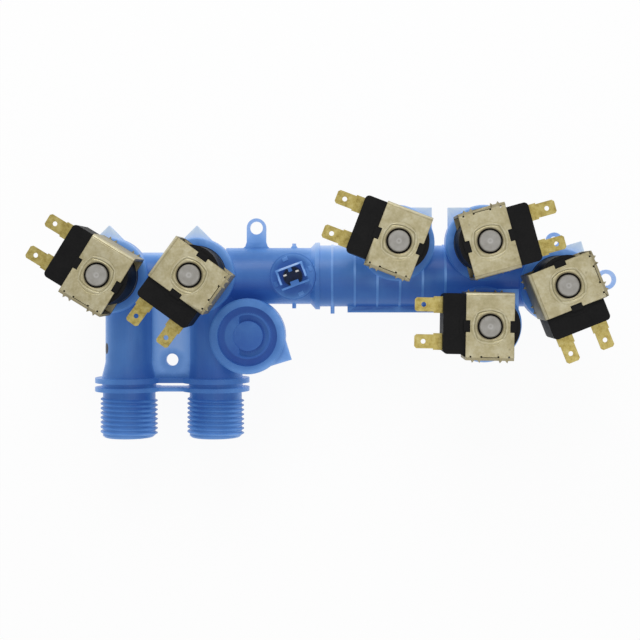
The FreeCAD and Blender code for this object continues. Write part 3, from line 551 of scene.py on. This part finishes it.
finishes = {
    "blue_polypropylene": bluePlastic("bluePolypropylene", blackSmear),
    "blue_sensor_plastic": bluePlastic("blueSensorPlastic", shadedPitFloor),
    "passivated_steel": passivatedSteel(),
    "black_overmould": blackOvermould(),
    "brass_blades": brass(),
    "grey_guide_plastic": guidePlastic(),
    "armature_steel": turnedSteel("armatureSteel", (0.45, 0.45, 0.45)),
    "spring_steel": turnedSteel("springSteel", (0.55, 0.55, 0.55)),
    "black_rubber": blackRubber(),
    "screen_plastic": screenPlastic(),
    "tinned_pins": turnedSteel("tinnedPins", (0.78, 0.77, 0.74)),
}
nodeFinishes = {
    "manifold_body": "blue_polypropylene",
    "sensor_housing": "blue_sensor_plastic",
    "sensor_pins": "tinned_pins",
    "sensor_seal": "black_rubber",
    "inlet_screen": "screen_plastic",
    "yoke": "passivated_steel",
    "coil": "black_overmould",
    "terminals": "brass_blades",
    "guide_tube": "grey_guide_plastic",
    "armature": "armature_steel",
    "spring": "spring_steel",
    "diaphragm": "black_rubber",
}


def dress(thing, finishName):
    thing.data.materials.clear()
    thing.data.materials.append(finishes[finishName])


for name, node in nodes.items():
    family = name.rstrip("0123456789").rstrip("_")
    dress(node, nodeFinishes[family])
print("finishes given to the solids")


joinReach = 0.000002


def merged(name):
    # The solid's triangles joined into one surface, without the normals that they were stored with
    plain = nodes[name].data.copy()
    stored = plain.attributes.get("custom_normal")
    if stored:
        plain.attributes.remove(stored)
    mesh = bmesh.new()
    mesh.from_mesh(plain)
    bpy.data.meshes.remove(plain)
    bmesh.ops.remove_doubles(mesh, verts=mesh.verts, dist=joinReach)
    return mesh


def smoothed(name, mesh, crease):
    # The finished mesh, smooth up to the crease angle in degrees
    data = bpy.data.meshes.new(name)
    mesh.to_mesh(data)
    mesh.free()
    data.shade_smooth()
    data.set_sharp_from_angle(angle=math.radians(crease))
    return data


def newPiece(name, mesh, finishName):
    piece = bpy.data.objects.new(name, mesh)
    bpy.context.scene.collection.objects.link(piece)
    dress(piece, finishName)
    return piece


skinSizes = {
    "spacing": 5.0 * mm,
    "fineSpacing": 1.6 * mm,
    "fineSpots": [(*blankSpot, blankReach), (0.0, 24.0, 17.0)],  # also the web: place and reach in mm
    "besideShare": 0.6,
    "passes": 4,
    "softening": 3,
    "ownShare": 0.4,
    "depth": 2.0 * mm,  # plastic that lets a third of the light through
    "inset": 0.12 * mm,  # how far under the surface the rays start
    "past": 0.01 * mm,
    "crossings": 8,
    "reach": 0.5,
    "crease": 34.0,
    "calm": 0.37,  # above this, walls that face sideways or down let little more light through
    "calmTurn": (-0.35, 0.10),
    "calmShare": 0.90,
    "sensorGain": 0.88,
}
lightRings = [  # share of the light, number of ways, and their rise above the level in degrees
    (0.70, 8, -55.0),
    (0.20, 8, -20.0),
    (0.10, 6, 15.0),
]


def overlong(edge, spacing):
    middle = (edge.verts[0].co + edge.verts[1].co) / (2 * mm)
    if any(math.dist(middle.xy, (x, y)) < reach for x, y, reach in skinSizes["fineSpots"]):
        spacing = skinSizes["fineSpacing"]
    return edge.calc_length() > spacing


def finer(mesh, spacing):
    # Long edges are halved a few times, so that the surface is dense enough to carry the light's values
    for step in range(skinSizes["passes"]):
        long = {edge for edge in mesh.edges if overlong(edge, spacing)}
        beside = {side for edge in long for face in edge.link_faces for side in face.edges}
        long |= {edge for edge in beside if overlong(edge, spacing * skinSizes["besideShare"])}
        bmesh.ops.subdivide_edges(mesh, edges=list(long), cuts=1, use_grid_fill=False)
        bmesh.ops.triangulate(mesh, faces=[face for face in mesh.faces if len(face.verts) > 3])


def treeOf(names):
    joined = bmesh.new()
    for name in names:
        joined.from_mesh(nodes[name].data)
    tree = BVHTree.FromBMesh(joined)
    joined.free()
    return tree


plasticTree = treeOf(["manifold_body", "sensor_housing"])
darkTree = treeOf([name for name in nodes if name.startswith(("coil", "yoke", "guide_tube", "diaphragm"))])
lightTurn = 11  # degrees, so that no ray runs along the tubes
lightWays = []
for part, count, rise in lightRings:
    for step in range(count):
        around = math.radians(360 * step / count + lightTurn)
        up = math.radians(rise)
        way = Vector((math.cos(around) * math.cos(up), math.sin(around) * math.cos(up), math.sin(up)))
        lightWays.append((part / count, way))


def plasticAlong(start, way):
    spot, total = start, 0.0
    for crossing in range(skinSizes["crossings"]):
        hit, normal, face, distance = plasticTree.ray_cast(spot, way, skinSizes["reach"])
        if hit is None:
            break
        if normal.dot(way) > 0:
            total += distance
        spot = hit + way * skinSizes["past"]
    return total


def stepUp(value, low, high):
    return max(0.0, min(1.0, (value - low) / (high - low)))


def calmed(light, normal):
    more = max(0.0, light - skinSizes["calm"])
    return light - more * skinSizes["calmShare"] * stepUp(-normal.z, *skinSizes["calmTurn"])


def lightAt(place, normal):
    start = place - normal * skinSizes["inset"]
    light = 0.0
    for part, way in lightWays:
        if darkTree.ray_cast(start, way, skinSizes["reach"])[0] is None:
            light += part * math.exp(-plasticAlong(start, way) / skinSizes["depth"])
    return calmed(math.sqrt(light), normal)


lifts = {  # places that the rays judge too dark or too pale, in millimetres, and what is added there as painted light and shade
    "webLow": (-9.6, 8.0, -1.6),
    "webHigh": (9.6, 46.0, 1.6),
    "web": 0.20,
    "rimStart": 13.4,
    "earStart": 15.6,
    "earEnd": 21.0,
    "earTip": 24.5,
    "rim": 0.11,
    "ear": 0.40,
    "axis": 54.8,  # where both manifold tubes lie
    "slopeStart": 64.0,
    "tube": 14.6,  # the right tube's radius, and how far from its axis the change reaches
    "tubeWide": 17.52,
    "tubeHigh": 16.79,
    "shaded": (112.0, 126.0),  # from here on the valves stand close and keep the light off
    "middle": 0.045,
    "upper": 0.155,
    "lower": 0.17,
    "leftTube": 13.4,  # the same for the left tube
    "leftWide": 13.668,
    "leftMiddle": 0.06,
    "leftUpper": -0.03,
    "leftLower": 0.07,
    "spigotSide": 20.7,
    "spigot": 12.4,
    "spigots": -0.02,
    "spigotEdge": -0.10,
    "blankRim": 0.045,
    "blankTop": 0.105,
    "pegStart": 50.0,
    "pegHigh": 3.0,
    "pegs": -0.12,
}
crispLifts = {  # the same painted light and shade, where the edge of the change is sharp
    "webHole": (0.0, 14.8),
    "webHalf": 1.6,
    "webGlow": -0.24,  # the light that the hole would let in, which falls off over these distances
    "webFade": (2.9, 6.5),
    "ribs": (14.9, 15.4, 0.09),  # from this distance to that one from the tube's axis, what is added
    "shroudReach": 6.6,
    "shroudEdge": (-0.3, 0.20),  # above this level, what is added
    "shroudFloor": (-10.0, -7.0, -0.10),
    "flangeReach": (10.0, 11.0),
    "flangeRim": (-10.4, -9.0, 0.05),
    "blankFloor": 7.0,
    "blankRings": [  # out to this distance and up to this level, what is added
        (7.1, 13.3, 0.055),
        (10.1, 13.2, 0.16),
        (10.9, 14.0, 0.06),
        (14.1, 13.9, -0.025),
    ],
}


def lift(place):
    x, y, z = [part / mm for part in place]
    sizes = lifts
    # Painted light: the web between the spigots paler
    if all(low < part < high for low, part, high in zip(sizes["webLow"], (x, y, z), sizes["webHigh"])):
        return sizes["web"]
    away = min(math.hypot(x - spot[0], y - spot[1]) for spot in valveSpots.values())
    # Painted light: the blank cup paler towards +y
    if math.dist((x, y), blankSpot) < blankReach:
        up = max(0.0, (y - blankSpot[1]) / blankReach)
        return sizes["blankRim"] + up * sizes["blankTop"] if z > sizes["tube"] else 0.0
    # Painted light: the cups' rims and the ears round the valves paler
    if sizes["rimStart"] < away < sizes["earTip"] and z > sizes["tube"]:
        rim = stepUp(away, sizes["rimStart"], sizes["earStart"]) * sizes["rim"]
        return rim + stepUp(away, sizes["earStart"], sizes["earEnd"]) * (sizes["ear"] - sizes["rim"])
    # Painted shade: the spigots darker towards their sides
    if y < 0:
        side = (abs(x) - sizes["spigotSide"]) / sizes["spigot"]
        return side * side * sizes["spigotEdge"] + sizes["spigots"]
    # The pegs below the tubes darker
    beside = y < sizes["axis"] - sizes["tube"] and abs(z) < sizes["pegHigh"]
    if beside and x > sizes["pegStart"] and away > sizes["earEnd"]:
        return sizes["pegs"]
    out = y - sizes["axis"]
    # Painted light from above: the right tube paler on its upper side and darker on its lower side, the upper
    # side's lightening fading where the valves stand close
    if x > sizes["slopeStart"] and abs(out) < sizes["tubeWide"] and z < sizes["tubeHigh"]:
        up = out / sizes["tube"]
        shaded = stepUp(x, *sizes["shaded"]) if up > 0 else 0.0
        return sizes["middle"] + up * sizes["upper" if up > 0 else "lower"] * (1.0 - shaded)
    # Painted light and shade: the left tube paler across its middle and darker towards its lower edge
    if abs(out) < sizes["leftWide"] and z < sizes["tube"]:
        up = out / sizes["leftTube"]
        slope = sizes["leftUpper" if up > 0 else "leftLower"]
        return (1.0 - up * up) * sizes["leftMiddle"] + up * slope
    return 0.0


def sensorLift(away, level):
    # What is added on the shroud's edge and floor, and on the rim of the flange round it: painted light that
    # makes the edge and the rim paler, and painted shade that makes the floor darker
    sizes = crispLifts
    inside = away < sizes["shroudReach"]
    lip, edge = sizes["shroudEdge"]
    if inside and level > lip:
        return edge
    near, far = sizes["flangeReach"]
    low, high, added = sizes["shroudFloor" if inside else "flangeRim"]
    return added if low < level < high and (inside or near < away < far) else 0.0


def crispLift(place):
    x, y, z = [part / mm for part in place]
    sizes = crispLifts
    away = math.dist((x, y), sizes["webHole"])
    if away < sizes["webFade"][1] and abs(z) < sizes["webHalf"]:
        return sizes["webGlow"] * (1.0 - stepUp(away, *sizes["webFade"]))
    away = math.dist((x, y), sensorSpot)
    added = sensorLift(away, z - sensorTop)
    if added or away < sizes["shroudReach"]:
        return added
    away = math.dist((x, y), blankSpot)
    if z > sizes["blankFloor"]:
        for out, top, added in sizes["blankRings"]:
            if away < out and z < top:
                return added
    near, far, added = sizes["ribs"]
    return added if x > lifts["slopeStart"] and near < math.hypot(y - lifts["axis"], z) < far else 0.0


def softened(mesh, values):
    own = skinSizes["ownShare"]
    for step in range(skinSizes["softening"]):
        around = []
        for vertex, value in zip(mesh.verts, values):
            beside = [values[edge.other_vert(vertex).index] for edge in vertex.link_edges]
            around.append(own * value + (1.0 - own) * sum(beside) / len(beside))
        values = around
    return values


def lit(name, mesh, finishName, replaced=None, gain=1.0):
    # The mesh becomes a piece that knows how much light comes through the plastic at each point
    mesh.normal_update()
    mesh.verts.index_update()
    values = [lightAt(vertex.co, vertex.normal) * gain + lift(vertex.co) for vertex in mesh.verts]
    values = softened(mesh, values)
    values = [value + crispLift(vertex.co) for value, vertex in zip(values, mesh.verts)]
    data = smoothed(name, mesh, skinSizes["crease"])
    data.attributes.new(glowName, "FLOAT", "POINT").data.foreach_set("value", values)
    piece = newPiece(name, data, finishName)
    if replaced:
        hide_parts(replaced)
    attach(piece, valveBody)
    print(name, len(data.vertices), "points, light", round(min(values), 3), "to", round(max(values), 3))


for name, finishName, spacing, gain in (
        ("manifold_body", "blue_polypropylene", skinSizes["spacing"], 1.0),
        ("sensor_housing", "blue_sensor_plastic", skinSizes["fineSpacing"], skinSizes["sensorGain"])):
    skin = merged(name)
    finer(skin, spacing)
    lit(name + "Skin", skin, finishName, name, gain)

clipSizes = {  # in millimetres and degrees
    "level": sensorTop - 10.0,  # the top of the sensor's round flange
    "out": 8.8,
    "turns": (25.0, 115.0, 205.0, 295.0),
    "long": 2.6,
    "wide": 1.7,
    "high": 0.55,
    "sunk": 0.25,
    "edge": 0.15,
    "gain": 1.05,
}


def sensorClips():
    # Low tabs near the flange's rim, which lock the sensor in its seat
    sizes = clipSizes
    x, y = sensorSpot
    tall = sizes["high"] + sizes["sunk"]
    mesh = bmesh.new()
    for turn in sizes["turns"]:
        made = bmesh.ops.create_cube(mesh, size=1.0)["verts"]
        right, up = math.cos(math.radians(turn)), math.sin(math.radians(turn))
        for vertex in made:
            out = sizes["out"] + vertex.co.x * sizes["wide"]
            side = vertex.co.y * sizes["long"]
            height = sizes["level"] + (vertex.co.z + 0.5) * tall - sizes["sunk"]
            wide = (x + out * right - side * up) * mm
            deep = (y + out * up + side * right) * mm
            vertex.co = Vector((wide, deep, height * mm))
    bmesh.ops.bevel(mesh, geom=mesh.edges[:], offset=sizes["edge"] * mm, segments=2, profile=0.6,
                    affect="EDGES")
    lit("sensorClips", mesh, "blue_sensor_plastic", None, sizes["gain"])


sensorClips()

threadSizes = {
    "root": 12.4 * mm,
    "pitch": 2.209 * mm,
    "turns": 8.6,
    "base": 1.95 * mm,
    "crest": 0.40 * mm,
    "height": 1.45 * mm,
    "sunk": 0.35 * mm,
    "fade": 0.07,
    "start": -2.6 * mm,
    "side": 20.7 * mm,
}
threadSteps = 56  # in each turn
threadEnd = 0.02  # how thin the ridge gets at its ends
threadGain = 0.94


def threadPattern():
    # A tapered ridge that winds round the spigot and dies away at both ends
    made = Pattern("hoseThread", threadSizes)
    root, turns, height, fade = [made.size(key) for key in ("root", "turns", "height", "fade")]
    spiral = made.put("GeometryNodeCurveSpiral", {}, {
        "Resolution": threadSteps,
        "Rotations": turns,
        "Start Radius": root,
        "End Radius": root,
        "Height": turns * made.size("pitch"),
    })
    upright = made.put("GeometryNodeSetCurveNormal", {"mode": "Z_UP"}, {"Curve": spiral})
    outline = made.put("GeometryNodeCurvePrimitiveQuadrilateral", {"mode": "TRAPEZOID"}, {
        "Bottom Width": made.size("base"),
        "Top Width": made.size("crest"),
        "Offset": 0.0,
        "Height": height,
    })
    turned = made.put("GeometryNodeTransform", {}, {
        "Geometry": outline,
        "Translation": made.vector(made.size("sunk") - height * 0.5, 0.0, 0.0),
        "Rotation": (0.0, 0.0, math.pi / 2),
    })
    share = made.put("GeometryNodeSplineParameter", {}, {}, "Factor")
    start = share.between(0.0, fade, threadEnd, 1.0)
    finish = share.between(1.0 - fade, 1.0, 1.0, threadEnd)
    ridge = made.put("GeometryNodeCurveToMesh", {}, {
        "Curve": upright,
        "Profile Curve": turned,
        "Scale": start * finish,
        "Fill Caps": True,
    })
    laid = made.put("GeometryNodeTransform", {}, {
        "Geometry": ridge,
        "Rotation": (math.pi / 2, 0.0, 0.0),
        "Translation": made.vector(made.size("side"), made.size("start"), 0.0),
    })
    made.end(laid, finishes["blue_polypropylene"])
    return made


thread = threadPattern()
for side in (-1, 1):
    baked = thread.bake({"side": side * threadSizes["side"]})
    ridge = bmesh.new()
    ridge.from_mesh(baked)
    bpy.data.meshes.remove(baked)
    bmesh.ops.recalc_face_normals(ridge, faces=ridge.faces)
    lit("hoseThread" + ("Left" if side < 0 else "Right"), ridge, "blue_polypropylene", None, threadGain)

foldSizes = {
    "wornAndHighlight": 0.16 * mm,
    "edge": 38.0,
    "crease": 30.0,
}


def ownPlaces(data, valve):
    # Where each point lies from the armature's line, in millimetres, along and across the yoke
    x, y, turn = valveSpots[valve]
    right, up = math.cos(math.radians(turn)), math.sin(math.radians(turn))
    places = []
    for vertex in data.vertices:
        wide, long = vertex.co.x / mm - x, vertex.co.y / mm - y
        places += [wide * right + long * up, long * right - wide * up, vertex.co.z / mm]
    return places


def foldedSteel(valve):
    # A copy of the yoke with its edges broken, which knows its own place from the armature's line
    mesh = merged(f"yoke_{valve}")
    least = math.radians(foldSizes["edge"])
    sharp = [edge for edge in mesh.edges if len(edge.link_faces) == 2 and edge.calc_face_angle() > least]
    bmesh.ops.bevel(mesh, geom=sharp, offset=foldSizes["wornAndHighlight"], segments=2, profile=0.6, affect="EDGES",
                    clamp_overlap=True)
    data = smoothed(f"foldedSteel{valve}", mesh, foldSizes["crease"])
    places = ownPlaces(data, valve)
    data.attributes.new(ownName, "FLOAT_VECTOR", "POINT").data.foreach_set("vector", places)
    piece = newPiece(f"foldedSteel{valve}", data, "passivated_steel")
    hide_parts(f"yoke_{valve}")
    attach(piece, valveBody)


for valve in valveSpots:
    foldedSteel(valve)
print("yokes folded")

springSizes = {
    "travel": 2.8 * mm,  # the armature's way, which shortens the spring
    "crease": 40.0,
}


def returnSpring(valve):
    # A copy of the spring with smooth shading, which takes the solid's place on the valve body
    data = smoothed(f"returnSpring{valve}", merged(f"spring_{valve}"), springSizes["crease"])
    piece = newPiece(f"returnSpring{valve}", data, "spring_steel")
    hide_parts(f"spring_{valve}")
    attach(piece, valveBody)
    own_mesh(piece)


for valve in valveSpots:
    returnSpring(valve)
print("springs set")

white = (1.0, 1.0, 1.0, 1.0)
studio = {
    "floor": -0.0330,
    "floorHalf": 4.0,
    "floorTone": (0.90, 0.90, 0.90, 1.0),
    "floorGlow": 0.93,
    "fill": 0.55,
    "lamps": {  # place, point that it shines on, width and power
        "keyLamp": ((0.02, 0.62, 0.55), (0.08, 0.05, 0.0), 0.5, 2.76),
        "fillLamp": ((0.25, -0.20, 0.75), (0.08, 0.05, 0.0), 0.6, 0.84),
    },
    "lens": 70.52,
    "film": 36.0,
    "shift": (-30 / 640, -40 / 640),
    "near": 0.01,
    "camera": (0.0849, 0.05287, 0.600),
}


def floor():
    half, z = studio["floorHalf"], studio["floor"]
    mesh = bpy.data.meshes.new("floor")
    corners = [(-half, -half, z), (half, -half, z), (half, half, z), (-half, half, z)]
    mesh.from_pydata(corners, [], [(0, 1, 2, 3)])
    ground = bpy.data.objects.new("floor", mesh)
    bpy.context.scene.collection.objects.link(ground)
    finish = Finish("floorPaper")
    matt = finish.put("ShaderNodeBsdfDiffuse", {}, {"Color": studio["floorTone"]})
    bright = finish.put("ShaderNodeEmission", {}, {"Color": white, "Strength": 1.0})
    straight, gloss, through = [finish.put("ShaderNodeLightPath", {}, {}, f"Is {kind} Ray")
                                for kind in ("Camera", "Glossy", "Transmission")]
    seen = straight.most(gloss).most(through)
    both = finish.put("ShaderNodeMixShader", {}, {0: seen * studio["floorGlow"], 1: matt, 2: bright})
    finish.put("ShaderNodeOutputMaterial", {}, {"Surface": both})
    mesh.materials.append(finish.material)


def lamp(name, place, aim, size, power):
    data = bpy.data.lights.new(name, "AREA")
    data.shape = "DISK"
    data.size = size
    data.energy = power
    made = bpy.data.objects.new(name, data)
    made.location = place
    made.rotation_euler = (Vector(aim) - Vector(place)).to_track_quat("-Z", "Y").to_euler()
    bpy.context.scene.collection.objects.link(made)


def world():
    made = bpy.data.worlds.new("studio")
    made.use_nodes = True
    background = made.node_tree.nodes["Background"]
    background.inputs["Color"].default_value = white
    background.inputs["Strength"].default_value = studio["fill"]
    bpy.context.scene.world = made


def camera():
    data = bpy.data.cameras.new("camera")
    data.lens = studio["lens"]
    data.sensor_width = studio["film"]
    data.shift_x, data.shift_y = studio["shift"]
    data.clip_start = studio["near"]
    made = bpy.data.objects.new("camera", data)
    made.location = studio["camera"]
    made.rotation_euler = (0.0, 0.0, 0.0)  # straight down on the valve's front
    bpy.context.scene.collection.objects.link(made)
    bpy.context.scene.camera = made


floor()
world()
for name, values in studio["lamps"].items():
    lamp(name, *values)
camera()
bpy.context.scene.view_settings.view_transform = "Standard"
print("studio set")
